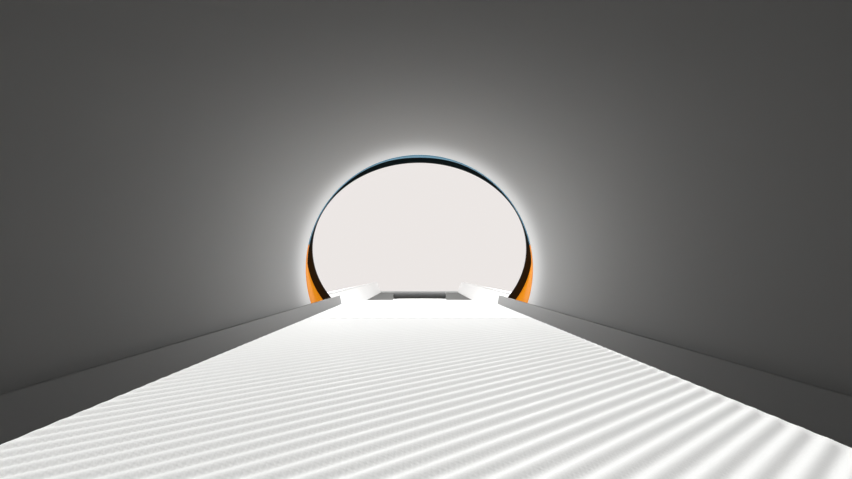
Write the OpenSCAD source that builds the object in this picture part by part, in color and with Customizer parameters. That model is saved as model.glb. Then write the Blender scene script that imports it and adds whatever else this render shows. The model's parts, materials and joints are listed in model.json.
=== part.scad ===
// Whole-body scanner with a wide patient bore, a powered patient table and a sliding tabletop.
// Z is up, the table leaves the bore towards -Y, and the origin is on the floor under the middle of the bore.
// The tabletop is stored run into the bore, as it is while a patient is scanned.

/* [Bore and mouth] */
// Inner diameter of the patient bore
bore_d = 700; // [680:5:710]
// Length of the bore liner
liner_len = 1410; // [1380:10:1430]
// Clear width of the front mouth inside its dark trim
mouth_w = 738; // [726:2:750]
// Clear height of the front mouth inside its dark trim
mouth_h = 596; // [584:2:610]
// Height of the mouth's centre above the bore axis
mouth_rise = 67; // [62:1:76]
// Depth of the flared mouth in front of the liner
mouth_depth = 139; // [125:2:155]
// How far the dark trim stands into the mouth
trim_lip = 20; // [10:1:24]

/* [Gantry covers] */
// Room between the vacuum vessel and the side covers
side_room = 110; // [80:5:160]
// Room between the vacuum vessel and the top of the covers
head_room = 310; // [290:5:380]
// Corner radius at the top of the covers
crown_r = 600; // [400:20:700]
// Corner radius at the foot of the covers
foot_r = 120; // [60:10:200]
// Wall of the moulded covers
cover_wall = 8; // [5:1:10]
// How far the front and rear faces are drawn in at their edges
face_inset = 95; // [40:5:140]

/* [Magnet] */
// Outer radius of the vacuum vessel
vessel_r = 930; // [890:5:950]
// Height of the vacuum vessel above the floor
vessel_lift = 130; // [110:5:160]
// Wall of the vacuum vessel
vessel_wall = 12; // [8:1:20]

/* [Tabletop and pads] */
// Distance from the bore's middle to the foot end of the tabletop's full width
top_foot = 1054; // [1040:2:1070]
// Distance from the bore's middle to the head end of the tabletop
top_head = 826; // [780:2:840]
// Drop of the mattress surface below the bore axis
pad_drop = 126; // [122:1:130]
// Thickness of the mattress
pad_t = 28; // [20:1:32]
// Width of the mattress at its upper face
pad_w = 541; // [520:1:550]
// Height of the side rims above the mattress
rim_h = 28; // [15:1:30]
// Pitch of the mattress ribs, measured across them
rib_pitch = 16.3; // [14:0.1:20]
// Depth of the valleys between the mattress ribs
rib_depth = 3.2; // [1.5:0.1:5]
// Angle of the mattress ribs to the table's width
rib_angle = 37.2; // [20:0.2:45]
// Distance from the bore's middle to the joint between the two pads
pad_joint = 420; // [300:5:600]
// Diameter of the pull bar
bar_d = 25.5; // [22:0.5:30]
// Length of the pull bar
bar_len = 222; // [200:2:240]

/* [Table] */
// Distance from the bore's middle to the foot end of the table
table_foot = 2710; // [2690:5:2760]
// Inside width between the rails at the deck
deck_w = 600; // [590:2:610]
// Height of the rails above the deck
rail_h = 80; // [50:1:95]
// How far each rail leans out over its height
rail_lean = 30; // [10:1:40]
// Depth of the table frame below the deck
frame_depth = 132; // [120:2:150]
// Lowering travel of the table
lift_travel = 400; // [300:5:410]

/* [Controls] */
// Diameter of the push buttons
button_d = 26; // [20:1:30]
// Distance between the push buttons
button_pitch = 46; // [40:1:50]

/* [Hidden] */
$fn = 96;

// Gaps
seam = 3;
run_gap = 0.3;
pin_gap = 0.05;

// Heights and widths that follow the magnet
axis_h = vessel_lift + vessel_r;
gantry_w = 2 * (vessel_r + side_room);
gantry_h = axis_h + vessel_r + head_room;

// Places along the bore, front is negative
bore_r = bore_d / 2;
liner_wall = 6;
light_w = 8;
liner_end = liner_len / 2;
mouth_back = liner_end + light_w;
mouth_front = mouth_back + mouth_depth;
face_y = mouth_front + 13;
trim_face = 3;
shell_t = 8;
shoulder_y = 640;
bevel_y = face_y - 75;
bevel_inset = 22;
rear_flare = 50;
rear_lip = 6;

// The opening that the tabletop passes through, below the mouth
pass_top = pad_drop;
pass_half = 310;
pass_h = 82;
pass_bottom = pass_top + pass_h;
tray_wall = 8;
tray_floor = 10;

// Inside the covers
cover_gap = 25;
frame_plate = 12;
flange_w = 30;
vessel_len = 2 * (shoulder_y - frame_plate);
liner_room = 24;
grad_t = 70;
warm_gap = 10;
coil_t = 12;
rung_t = 8;
rung_w = 32;
rungs = 16;
coil_half = 260;
ring_w = 50;
collar_y = 560;
collar_w = 16;
grad_inset = 20;
wedge_w = 50;
wedge_len = 80;
grad_in = bore_r + liner_wall + liner_room;
collar_in = bore_r + liner_wall + run_gap;
grad_out = grad_in + grad_t;
warm_bore_r = grad_out + warm_gap;
coil_out = bore_r + liner_wall + coil_t;
saddle_half = 600;
saddle_y = 500;
saddle_w = 120;
saddle_rise = 200;
saddle_top = vessel_lift + saddle_rise;
anchor_x = 700;
anchor_r = 11;
plate_t = 20;
foot_plate_w = 240;
foot_plate_len = 220;
foot_plate_x = 660;
split_rise = 60;
crown_split = gantry_h - crown_r + split_rise;
frame_hole_r = vessel_r - 230;

vessel_chamfer = 30;

// Cold mass
former_t = 30;
former_r = warm_bore_r + 45;
web_y = vessel_len / 2 - 80;
web_t = 20;
winding_h = 50;
winding_w = 90;
winding_y = [45, 230, 425];
shield_r = vessel_r - 90;
shield_h = 60;
shield_w = 110;
strut_r = 16;

// Service turret
turret_y = 180;
turret_w = 420;
turret_len = 360;
turret_rise = 100;
turret_foot = 40;
turret_top = axis_h + vessel_r + turret_rise;
vent_r = 100;
vent_wall = 5;
vent_x = -80;
vent_rise = 80;
vent_top = gantry_h + vent_rise;
vent_flange_r = 150;
vent_flange_t = 12;
vent_pcd = 250;
vent_bolts = 8;
vent_bolt_r = 7;
cold_head_r = 70;
cold_head_x = 120;
cold_head_gap = 25;
head_flange_t = 16;
cold_head_top = gantry_h - cover_wall - cold_head_gap;

// Levels below the bore axis
pad_bottom = pad_drop + pad_t;
board_t = 16;
board_bottom = pad_bottom + board_t;
glide_t = 5.7;
deck_drop = board_bottom + glide_t + run_gap;
frame_bottom = deck_drop + frame_depth;
rim_top = pad_drop - rim_h;

// Tabletop
rim_lean = 0.186;
rim_wall = 7;
rim_break = 4;
edge_out = 9;
edge_rise = 11;
head_wall = 10;
pad_gap = 0.3;
joint_gap = 0.5;
pad_half_low = pad_w / 2 - rim_lean * pad_t;
board_half = pad_half_low + 3;
rim_end = 880;
tongue_half = 107;
tongue_len = 80;
tongue_end = top_foot + tongue_len;
glide_x = 155;
glide_w = 36;
bar_reach = 50;
bar_y = tongue_end + bar_reach;
bar_drop = pad_drop - 11;
arm_x = 98;
arm_w = 12;
arm_t = 12;
seat_len = 14;
hook_y = top_foot + 6;
hook_len = 40;
hook_w = 24;

// Table
head_gap = 7;
table_head = face_y + head_gap;
cap_t = 16;
frame_end = table_foot - cap_t;
deck_half = deck_w / 2;
deck_t = 10;
wall_t = 8;
slot_half = 18;
slot_margin = 50;
rail_top = deck_drop - rail_h;
rail_out = deck_half + rail_lean + 36;
lip_h = 10;

// Belt drive
pulley_r = 25;
pulley_w = 34;
belt_t = 3;
belt_w = 30;
shaft_r = 6;
pulley_drop = deck_drop + deck_t + pulley_r + 12;
idler_y = table_head + 45;
drive_y = frame_end - 45;
block_w = 14;
block_len = 40;
block_gap = 6;
block_rise = 18;
runner_x = pulley_w / 2 + block_gap;
shaft_in = 20;
flange_t = 1.5;
flange_rise = 6;
motor_r = 34;
motor_len = 130;
motor_x = runner_x + block_w + 1;
motor_foot_w = 60;
motor_foot_len = 100;

// Lift column and skirts
column_y = (table_head + frame_end) / 2;
column_pitch = 660;
ped_w = 560;
ped_len = 1240;
ped_r = 60;
skirt_wall = 5;
skirt_step = 8;
stage = lift_travel / 2;
lift_top = axis_h - frame_bottom;
stage_low = plate_t + 5;
outer_top = lift_top - lift_travel - 30;
mid_top = lift_top - stage - 15;
mid_plate_z = mid_top - 11;
mid_plate_t = 8;
column_r = 90;
column_wall = 8;
base_w = 650;
base_len = 1340;
bolt_edge_x = 29;
bolt_edge_y = 26;
base_bolt_x = base_w / 2 - bolt_edge_x;
base_bolt_y = base_len / 2 - bolt_edge_y;

// Control panels
panel_x = 620;
panel_z = axis_h + 30;
panel_w = 130;
panel_h = 220;
panel_t = 16;
pocket = 11;
button_in = 8;
button_out = 3;
stop_r = 20;
stop_neck_r = 11;
stop_gap = 5;
stop_head_t = 8;
stop_crown = 4;
stop_pocket = 14;
stop_drop = 62;
button_rise = 30;
window_rise = 75;
window_w = 120;
window_h = 36;
window_t = 4;

// Helpers

// Extrudes a front view, drawn as x and height, between two places along the bore
module slab(y_low, y_high) {
    translate([0, y_high, 0]) rotate([90, 0, 0]) linear_extrude(y_high - y_low) children();
}

// A tube around the bore axis
module bore_tube(y_low, y_high, r_in, r_out) {
    slab(y_low, y_high) translate([0, axis_h]) difference() {
        circle(r_out);
        circle(r_in);
    }
}

// Turns a half section, drawn as radius and place along the bore, round the bore axis
module round_bore() {
    translate([0, 0, axis_h]) rotate([-90, 0, 0]) rotate_extrude() children();
}

// Points of an ellipse around the origin
function oval(half_w, half_h, steps = 96) =
    [for (i = [0:steps - 1]) [half_w * cos(i * 360 / steps), half_h * sin(i * 360 / steps)]];

// Front view of the mouth, made larger all round by a margin
module mouth_view(margin) {
    translate([0, axis_h + mouth_rise]) polygon(oval(mouth_w / 2 + margin, mouth_h / 2 + margin));
}

// Everything below the tabletop's passage, as a front view
module passage_view(margin) {
    low = axis_h - pass_bottom - margin;
    translate([-pass_half - margin, low]) square([2 * (pass_half + margin), pass_bottom - pass_top + 2 * margin]);
}

// Outline of the covers from the front, drawn in by an inset
module cover_view(inset) {
    half = gantry_w / 2 - inset;
    low = cover_gap + inset;
    high = gantry_h - inset;
    top_r = crown_r - inset;
    low_r = max(foot_r - inset, 8);
    translate([-half + top_r, low + low_r]) square([2 * (half - top_r), high - low - low_r]);
    translate([-half, low + low_r]) square([2 * half, high - low - low_r - top_r]);
    translate([-half + low_r, low]) square([2 * (half - low_r), low_r + 1]);
    for (side = [-1, 1]) {
        translate([side * (half - top_r), high - top_r]) circle(top_r);
        translate([side * (half - low_r), low + low_r]) circle(low_r);
    }
}

// A rectangle with rounded corners, centred
module soft_rectangle(w, h, r) {
    square([w - 2 * r, h], center = true);
    square([w, h - 2 * r], center = true);
    for (x = [-1, 1], y = [-1, 1]) {
        translate([x * (w / 2 - r), y * (h / 2 - r)]) circle(r, $fn = 48);
    }
}

// Magnet and what it carries

// Two welded saddles on floor plates carry the vessel
module feet() color("dimgray") {
    for (end = [-1, 1]) {
        slab(end * saddle_y - saddle_w / 2, end * saddle_y + saddle_w / 2) difference() {
            translate([-saddle_half, plate_t]) square([2 * saddle_half, saddle_top - plate_t]);
            translate([0, axis_h]) circle(vessel_r);
        }
        for (side = [-1, 1]) {
            translate([side * foot_plate_x, end * saddle_y, 0]) difference() {
                translate([-foot_plate_w / 2, -foot_plate_len / 2, 0]) cube([foot_plate_w, foot_plate_len, plate_t]);
                translate([side * (anchor_x - foot_plate_x), 0, -1])
                    cylinder(h = plate_t + 2, r = anchor_r, $fn = 48);
            }
        }
    }
}

module vacuum_vessel() color("silver") round_bore() difference() {
    vessel_section(0);
    vessel_section(vessel_wall);
}

// Half section of the vessel with broken corners
module vessel_section(inset) {
    half = vessel_len / 2 - inset;
    chamfer = vessel_chamfer;
    polygon([
        [warm_bore_r + inset, -half], [vessel_r - inset - chamfer, -half], [vessel_r - inset, -half + chamfer],
        [vessel_r - inset, half - chamfer], [vessel_r - inset - chamfer, half], [warm_bore_r + inset, half]
    ]);
}

// Former with six main windings, two shield windings and the struts that hold it in the vessel
module cold_mass() color("peru") {
    round_bore() {
        translate([former_r, -web_y]) square([former_t, 2 * web_y]);
        for (y = winding_y, end = [-1, 1]) {
            translate([former_r + former_t - 1, end * y - winding_w / 2]) square([winding_h, winding_w]);
        }
        for (end = [-1, 1]) {
            translate([former_r, end * (web_y - web_t / 2) - web_t / 2]) square([shield_r - former_r, web_t]);
            translate([shield_r - shield_h, end * (web_y - shield_w / 2) - shield_w / 2])
                square([shield_h, shield_w]);
        }
    }
    for (end = [-1, 1], turn = [45:90:315]) {
        translate([0, end * (web_y - shield_w / 2), axis_h]) rotate([0, turn, 0])
            translate([0, 0, shield_r - web_t])
                cylinder(h = vessel_r - vessel_wall - shield_r + web_t - run_gap, r = strut_r, $fn = 32);
    }
}

// Turret on top of the vessel, its foot cut to the vessel's round
module service_turret() color("gainsboro") difference() {
    translate([-turret_w / 2, turret_y - turret_len / 2, axis_h + vessel_r - turret_foot])
        cube([turret_w, turret_len, turret_rise + turret_foot]);
    slab(-vessel_len, vessel_len) translate([0, axis_h]) circle(vessel_r, $fn = 240);
}

module cold_head() color("slategray") translate([cold_head_x, turret_y, 0]) {
    translate([0, 0, turret_top]) cylinder(h = head_flange_t, r = cold_head_r + head_flange_t);
    translate([0, 0, turret_top + head_flange_t - 1])
        cylinder(h = cold_head_top - turret_top - head_flange_t + 1, r = cold_head_r);
}

// Vent stub that leaves through the top cover, with a flange for the vent line
module vent_pipe() color("lightgray") translate([vent_x, turret_y, 0]) difference() {
    union() {
        translate([0, 0, turret_top]) cylinder(h = vent_top - turret_top, r = vent_r);
        translate([0, 0, vent_top - vent_flange_t]) cylinder(h = vent_flange_t, r = vent_flange_r);
    }
    translate([0, 0, turret_top + vent_wall]) cylinder(h = vent_top, r = vent_r - vent_wall);
    for (i = [0:vent_bolts - 1]) {
        rotate([0, 0, i * 360 / vent_bolts]) translate([vent_pcd / 2, 0, vent_top - 2 * vent_flange_t])
            cylinder(h = 3 * vent_flange_t, r = vent_bolt_r, $fn = 32);
    }
}

// Gradient coil with the two collars that carry the liner and the wedges that hold it in the vessel's bore
module gradient_coil() color("darkkhaki") {
    half = vessel_len / 2 - grad_inset;
    bore_tube(-half, half, grad_in, grad_out);
    for (end = [-1, 1]) {
        bore_tube(end * collar_y - collar_w / 2, end * collar_y + collar_w / 2, collar_in, grad_in + 1);
    }
    for (end = [-1, 1], turn = [45:90:315]) {
        translate([0, end * (half - wedge_len), axis_h]) rotate([0, turn, 0])
            translate([-wedge_w / 2, -wedge_len / 2, grad_out - 5]) cube([wedge_w, wedge_len, warm_gap + 4]);
    }
}

// Two end rings and sixteen rungs of the transmit coil lie on the liner
module body_coil() color("goldenrod") {
    for (end = [-1, 1]) {
        bore_tube(end * coil_half - ring_w / 2, end * coil_half + ring_w / 2, bore_r + liner_wall, coil_out);
    }
    for (i = [0:rungs - 1]) {
        translate([0, 0, axis_h]) rotate([0, i * 360 / rungs, 0])
            translate([-rung_w / 2, -coil_half - 1, bore_r + liner_wall]) cube([rung_w, 2 * coil_half + 2, rung_t]);
    }
}

module bore_liner() color("darkgray") bore_tube(-liner_end, liner_end, bore_r, bore_r + liner_wall);

module light_ring_front() color("white")
    bore_tube(-mouth_back, -liner_end, bore_r, bore_r + liner_wall);

module light_ring_rear() color("white")
    bore_tube(liner_end, mouth_back, bore_r, bore_r + liner_wall);

// Mouths of the bore

// Loft from the round bore to the oval mouth, made larger by a margin and longer by a reach
module mouth_loft(margin, reach) hull() {
    slab(-mouth_back, -mouth_back + reach + 1) translate([0, axis_h]) circle(bore_r + margin);
    slab(-mouth_front - reach - 1, -mouth_front) mouth_view(trim_lip + margin);
}

module mouth_shell() difference() {
    intersection() {
        mouth_loft(shell_t, 0);
        slab(-mouth_front, -mouth_back) translate([0, axis_h]) square(2 * mouth_w, center = true);
    }
    mouth_loft(0, 1);
    slab(-mouth_front - 1, -mouth_back + 1) passage_cut_view();
}

// The passage and all that lies below it
module passage_cut_view() {
    translate([-pass_half - run_gap, axis_h - mouth_w]) square([2 * (pass_half + run_gap), mouth_w - pass_top]);
}

module mouth_upper() color("steelblue") intersection() {
    mouth_shell();
    translate([-mouth_w, -face_y, axis_h + mouth_rise]) cube([2 * mouth_w, face_y, mouth_w]);
}

module accent(side) intersection() {
    mouth_shell();
    translate([min(0, side * mouth_w), -face_y, axis_h + mouth_rise - mouth_w]) cube([mouth_w, face_y, mouth_w]);
}

module accent_left() color("orange") accent(-1);

module accent_right() color("orange") accent(1);

module mouth_trim() color("black") slab(-face_y - trim_face, -mouth_front) difference() {
    mouth_view(trim_lip + shell_t);
    mouth_view(0);
    translate([-mouth_w, axis_h - pass_top - 2 * mouth_w]) square(2 * mouth_w);
}

module rear_mouth() color("whitesmoke") round_bore() polygon([
    [bore_r, mouth_back], [bore_r + rear_flare, mouth_front],
    [bore_r + rear_flare + shell_t, mouth_front], [bore_r + shell_t, mouth_back]
]);

module rear_trim() color("gray")
    bore_tube(mouth_front, face_y + trim_face, bore_r + rear_flare - rear_lip,
        bore_r + rear_flare + shell_t);

// Tray under the tabletop's passage, with the wall that closes the bore's foot
module bridge_tray() color("lightgray") {
    slab(-face_y, -mouth_back) difference() {
        translate([-pass_half, axis_h - pass_bottom]) square([2 * pass_half, pass_bottom - pass_top - run_gap]);
        translate([-pass_half + tray_wall, axis_h - pass_bottom + tray_floor])
            square([2 * (pass_half - tray_wall), pass_bottom]);
    }
    slab(-mouth_back - tray_wall, -mouth_back) intersection() {
        translate([0, axis_h]) circle(bore_r + liner_wall);
        translate([-bore_r, axis_h - 2 * bore_r - pass_bottom + tray_floor]) square(2 * bore_r);
    }
}

// Two running rails that carry the tabletop through the bore
module bore_rails() color("gainsboro") {
    rail_low = pass_bottom - tray_floor;
    for (side = [-1, 1]) {
        slab(-face_y, liner_end - 5) translate([side * glide_x - glide_w / 2, axis_h - rail_low])
            square([glide_w, rail_low - deck_drop]);
        slab(-liner_end + 5, liner_end - 5) intersection() {
            translate([side * glide_x - 10, axis_h - bore_r]) square([20, bore_r - rail_low + 1]);
            translate([0, axis_h]) circle(bore_r);
        }
    }
}

// Covers

// Carrier plates on the vessel's ends that the covers are hung on
module cover_frame() color("gray") for (y = [-shoulder_y, shoulder_y - frame_plate]) {
    slab(y, y + frame_plate) difference() {
        cover_view(cover_wall + 0.2);
        translate([0, axis_h]) circle(frame_hole_r);
    }
}

// Bulged face shell, open towards the middle, with a flange that meets the carrier plate
module face_shell() difference() {
    hull() {
        slab(-shoulder_y - 1, -shoulder_y) cover_view(0);
        slab(-bevel_y, -bevel_y + 1) cover_view(bevel_inset);
        slab(-face_y, -face_y + 1) cover_view(face_inset);
    }
    hull() {
        slab(-shoulder_y - 7, -shoulder_y - 6) cover_view(cover_wall);
        slab(-bevel_y, -bevel_y + 1) cover_view(bevel_inset + cover_wall);
        slab(-face_y + cover_wall, -face_y + cover_wall + 1) cover_view(face_inset + cover_wall);
    }
    slab(-shoulder_y - 8, -shoulder_y + 1) cover_view(cover_wall + flange_w);
}

module front_cover() color("whitesmoke") difference() {
    face_shell();
    slab(-face_y - 1, -face_y + cover_wall + 1) {
        intersection() {
            mouth_view(trim_lip + shell_t + run_gap);
            translate([-mouth_w, axis_h - pass_top - run_gap]) square(2 * mouth_w);
        }
        passage_view(run_gap);
    }
}

module rear_cover() color("whitesmoke") difference() {
    mirror([0, 1, 0]) face_shell();
    slab(face_y - cover_wall - 1, face_y + 1) translate([0, axis_h])
        circle(bore_r + rear_flare + shell_t + run_gap);
}

// Shell between the two faces, its underside left open for the feet
module body_shell() slab(-shoulder_y + seam, shoulder_y - seam) difference() {
    cover_view(0);
    cover_view(cover_wall);
    translate([-gantry_w / 2 + foot_r, 0]) square([gantry_w - 2 * foot_r, cover_gap + cover_wall + 1]);
}

module side_cover(side) intersection() {
    body_shell();
    translate([min(0, side * gantry_w), -shoulder_y, 0]) cube([gantry_w, 2 * shoulder_y, crown_split - seam]);
}

module side_cover_left() color("white") side_cover(-1);

module side_cover_right() color("white") side_cover(1);

module top_cover() color("white") difference() {
    intersection() {
        body_shell();
        translate([-gantry_w / 2, -shoulder_y, crown_split]) cube([gantry_w, 2 * shoulder_y, gantry_h]);
    }
    translate([vent_x, turret_y, gantry_h - 2 * cover_wall]) cylinder(h = 4 * cover_wall, r = vent_r + seam);
}

// Window of the positioning light above the mouth
module light_window() color("darkslategray")
    translate([0, -face_y, axis_h + mouth_rise + mouth_h / 2 + trim_lip + window_rise]) rotate([90, 0, 0])
        linear_extrude(window_t) soft_rectangle(window_w, window_h, 8);

// Controls

// Front view places of the four push buttons
function button_place(i) = [(i % 2 - 0.5) * button_pitch, button_rise + (0.5 - floor(i / 2)) * button_pitch];

module on_panel(side, place) {
    translate([side * panel_x + place[0], -face_y - panel_t, panel_z + place[1]]) rotate([90, 0, 0]) children();
}

module control_panel(side) difference() {
    translate([side * panel_x, -face_y, panel_z]) rotate([90, 0, 0]) linear_extrude(panel_t)
        soft_rectangle(panel_w, panel_h, 18);
    for (i = [0:3]) {
        on_panel(side, button_place(i)) translate([0, 0, -pocket]) cylinder(h = panel_t, r = button_d / 2 + run_gap);
    }
    on_panel(side, [0, -stop_drop]) translate([0, 0, -stop_pocket])
        cylinder(h = 2 * panel_t, r = stop_neck_r + run_gap);
}

module push_button(side, i) on_panel(side, button_place(i)) translate([0, 0, -button_in])
    cylinder(h = button_in + button_out, r = button_d / 2);

module stop_button(side) on_panel(side, [0, -stop_drop]) {
    translate([0, 0, -button_in]) cylinder(h = button_in + stop_gap + 1, r = stop_neck_r);
    translate([0, 0, stop_gap]) cylinder(h = stop_head_t, r = stop_r);
    translate([0, 0, stop_gap + stop_head_t]) cylinder(h = stop_crown, r1 = stop_r, r2 = stop_r - stop_crown);
}

module panel_left() color("gray") control_panel(-1);

module panel_right() color("gray") control_panel(1);

module button_left_1() color("silver") push_button(-1, 0);

module button_left_2() color("silver") push_button(-1, 1);

module button_left_3() color("silver") push_button(-1, 2);

module button_left_4() color("silver") push_button(-1, 3);

module stop_left() color("firebrick") stop_button(-1);

module button_right_1() color("silver") push_button(1, 0);

module button_right_2() color("silver") push_button(1, 1);

module button_right_3() color("silver") push_button(1, 2);

module button_right_4() color("silver") push_button(1, 3);

module stop_right() color("firebrick") stop_button(1);

// Table pedestal and lift

module table_base() color("dimgray") translate([0, -column_y, 0]) linear_extrude(plate_t) difference() {
    soft_rectangle(base_w, base_len, 30);
    for (x = [-1, 1], y = [-1, 1]) translate([x * base_bolt_x, y * base_bolt_y]) circle(anchor_r, $fn = 48);
}

// One stage of both lift columns, from one height to another
module column_stage(z_low, z_high, r_out) {
    for (end = [-1, 1]) {
        translate([0, -column_y + end * column_pitch / 2, z_low]) linear_extrude(z_high - z_low) difference() {
            circle(r_out);
            circle(r_out - column_wall);
        }
    }
}

module column_outer() color("gray") column_stage(plate_t, outer_top, column_r);

// Middle stage with the plate that carries the middle skirt
module column_mid() color("silver") {
    r = column_r - column_wall - run_gap;
    column_stage(stage_low + stage, mid_top, r);
    translate([0, -column_y, mid_plate_z]) linear_extrude(mid_plate_t) difference() {
        pedestal_view(skirt_step + skirt_wall);
        for (end = [-1, 1]) translate([0, end * column_pitch / 2]) circle(r - 1);
    }
}

module column_inner() color("lightgray")
    column_stage(stage_low + lift_travel, lift_top, column_r - 2 * (column_wall + run_gap));

// Plan view of the pedestal, drawn in by an inset
module pedestal_view(inset) soft_rectangle(ped_w - 2 * inset, ped_len - 2 * inset, ped_r - inset);

module skirt(z_low, z_high, inset) translate([0, -column_y, z_low]) linear_extrude(z_high - z_low) difference() {
    pedestal_view(inset);
    pedestal_view(inset + skirt_wall);
}

module skirt_lower() color("gainsboro") skirt(plate_t, outer_top, 2 * skirt_step);

module skirt_mid() color("whitesmoke") skirt(outer_top - 25, mid_top, skirt_step);

module skirt_upper() color("white") skirt(mid_top - 30, lift_top, 0);

// Table

// Folded frame with a flat deck that is slotted for the drive hook
module table_frame() color("darkgray") {
    difference() {
        slab(-frame_end, -table_head) {
            translate([-deck_half, axis_h - frame_bottom]) square([2 * deck_half, wall_t]);
            translate([-deck_half, axis_h - deck_drop - deck_t]) square([2 * deck_half, deck_t]);
            for (side = [-1, 1]) {
                translate([side * (deck_half - wall_t / 2) - wall_t / 2, axis_h - frame_bottom])
                    square([wall_t, frame_depth]);
            }
        }
        translate([-slot_half, -frame_end + slot_margin, axis_h - deck_drop - 2 * deck_t])
            cube([2 * slot_half, frame_end - table_head - 2 * slot_margin, 3 * deck_t]);
    }
    slab(-table_head - wall_t, -table_head) translate([-deck_half + 1, axis_h - frame_bottom])
        square([2 * deck_half - 2, frame_depth]);
}

// Front view of one rail moulding, from the deck up over the rail and down to its foot
function rail_points(side) = [
    [side * deck_half, axis_h - deck_drop], [side * (deck_half + rail_lean), axis_h - rail_top - 4],
    [side * (deck_half + rail_lean + 5), axis_h - rail_top], [side * (rail_out - 8), axis_h - rail_top],
    [side * rail_out, axis_h - rail_top - 9], [side * rail_out, axis_h - frame_bottom + 40],
    [side * (rail_out - 30), axis_h - frame_bottom], [side * deck_half, axis_h - frame_bottom]
];

module rail_view(side) polygon(rail_points(side));

module rail_left() color("white") slab(-frame_end, -table_head) rail_view(-1);

module rail_right() color("white") slab(-frame_end, -table_head) rail_view(1);

// End moulding with a low lip at the foot of the deck
module foot_cap() color("white") slab(-table_foot, -frame_end) {
    lip_half = deck_half + rail_lean * lip_h / (rail_h - 4);
    lip_z = axis_h - deck_drop + lip_h;
    polygon(concat(
        [[lip_half, lip_z]], [for (i = [1:7]) rail_points(1)[i]],
        [for (i = [7:-1:1]) rail_points(-1)[i]], [[-lip_half, lip_z]]
    ));
}

// Belt drive inside the frame

module along_x(y, x_low, x_high) {
    translate([x_low, -y, axis_h - pulley_drop]) rotate([0, 90, 0]) linear_extrude(x_high - x_low) children();
}

module bearing_blocks() color("slategray") {
    floor_z = axis_h - frame_bottom + wall_t;
    for (y = [idler_y, drive_y], side = [-1, 1]) difference() {
        translate([side * (runner_x + block_w / 2) - block_w / 2, -y - block_len / 2, floor_z])
            cube([block_w, block_len, axis_h - pulley_drop - floor_z + block_rise]);
        along_x(y, -100, 100) circle(shaft_r + pin_gap);
    }
}

// Geared motor on a foot, with the bore that takes the pulley's shaft
module drive_motor() color("dimgray") difference() {
    union() {
        along_x(drive_y, motor_x, motor_x + motor_len) circle(motor_r);
        translate([motor_x + 10, -drive_y - motor_foot_w / 2, axis_h - frame_bottom + wall_t])
            cube([motor_foot_len, motor_foot_w, frame_bottom - wall_t - pulley_drop]);
    }
    along_x(drive_y, motor_x - 1, motor_x + shaft_in + 5) circle(shaft_r + pin_gap);
}

module pulley(y, x_low, x_high) {
    along_x(y, -pulley_w / 2, pulley_w / 2) circle(pulley_r - run_gap);
    for (side = [-1, 1]) {
        middle = side * (pulley_w - flange_t) / 2;
        along_x(y, middle - flange_t / 2, middle + flange_t / 2) circle(pulley_r + flange_rise);
    }
    along_x(y, x_low, x_high) circle(shaft_r);
}

module drive_pulley() color("silver") pulley(drive_y, -40, runner_x + block_w + shaft_in);

module idler_pulley() color("silver") pulley(idler_y, -40, 40);

// Side view of the belt's loop, made larger by a margin
module belt_view(margin) {
    square([2 * (pulley_r + margin), drive_y - idler_y], center = true);
    for (end = [-1, 1]) translate([0, end * (drive_y - idler_y) / 2]) circle(pulley_r + margin);
}

module drive_belt() color("black") along_x((drive_y + idler_y) / 2, -belt_w / 2, belt_w / 2) difference() {
    belt_view(belt_t);
    belt_view(0);
}

// Tabletop and what it carries

// Front view of the tray, with leaning rims
module tray_view() {
    rim_in = pad_w / 2 + rim_lean * rim_h + pad_gap;
    low = axis_h - board_bottom;
    top = axis_h - rim_top;
    polygon([
        [-board_half, low], [board_half, low], [board_half + edge_out, low + edge_rise],
        [rim_in + rim_wall, top - rim_break], [rim_in + rim_wall - rim_break, top], [rim_in, top],
        [pad_half_low + pad_gap, low + board_t], [-pad_half_low - pad_gap, low + board_t], [-rim_in, top],
        [-rim_in - rim_wall + rim_break, top], [-rim_in - rim_wall, top - rim_break],
        [-board_half - edge_out, low + edge_rise]
    ]);
}

module tabletop() color("lightgray") {
    slab(-rim_end, top_head - head_wall) tray_view();
    slab(-top_foot, -rim_end + 1) translate([-board_half, axis_h - board_bottom])
        square([2 * board_half, board_t]);
    slab(-tongue_end, -top_foot + 1) translate([-tongue_half, axis_h - board_bottom])
        square([2 * tongue_half, board_t]);
    slab(top_head - head_wall, top_head) translate([-board_half, axis_h - board_bottom])
        square([2 * board_half, board_t + pad_t - 1]);
}

// Low-friction strips under the tabletop
module glides() color("white") {
    for (side = [-1, 1]) {
        translate([side * glide_x - glide_w / 2, -top_foot + 20, axis_h - board_bottom - glide_t])
            cube([glide_w, top_foot + top_head - 40, glide_t]);
    }
}

// Hook from the tabletop through the deck's slot to the belt
module drive_hook() color("gray") {
    belt_top = pulley_drop - pulley_r - belt_t;
    translate([-hook_w / 2, -hook_y - hook_len / 2, axis_h - belt_top + run_gap])
        cube([hook_w, hook_len, belt_top - board_bottom - run_gap]);
}

// Front view of the mattress, its sides following the rims
module pad_view() {
    low = axis_h - pad_bottom;
    polygon([[-pad_half_low, low], [pad_half_low, low], [pad_w / 2, low + pad_t], [-pad_w / 2, low + pad_t]]);
}

// Height of the ribbed surface across one pitch
function rib_height(i, steps) = pad_t - rib_depth / 2 + rib_depth / 2 * cos(i * 360 / steps);

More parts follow.
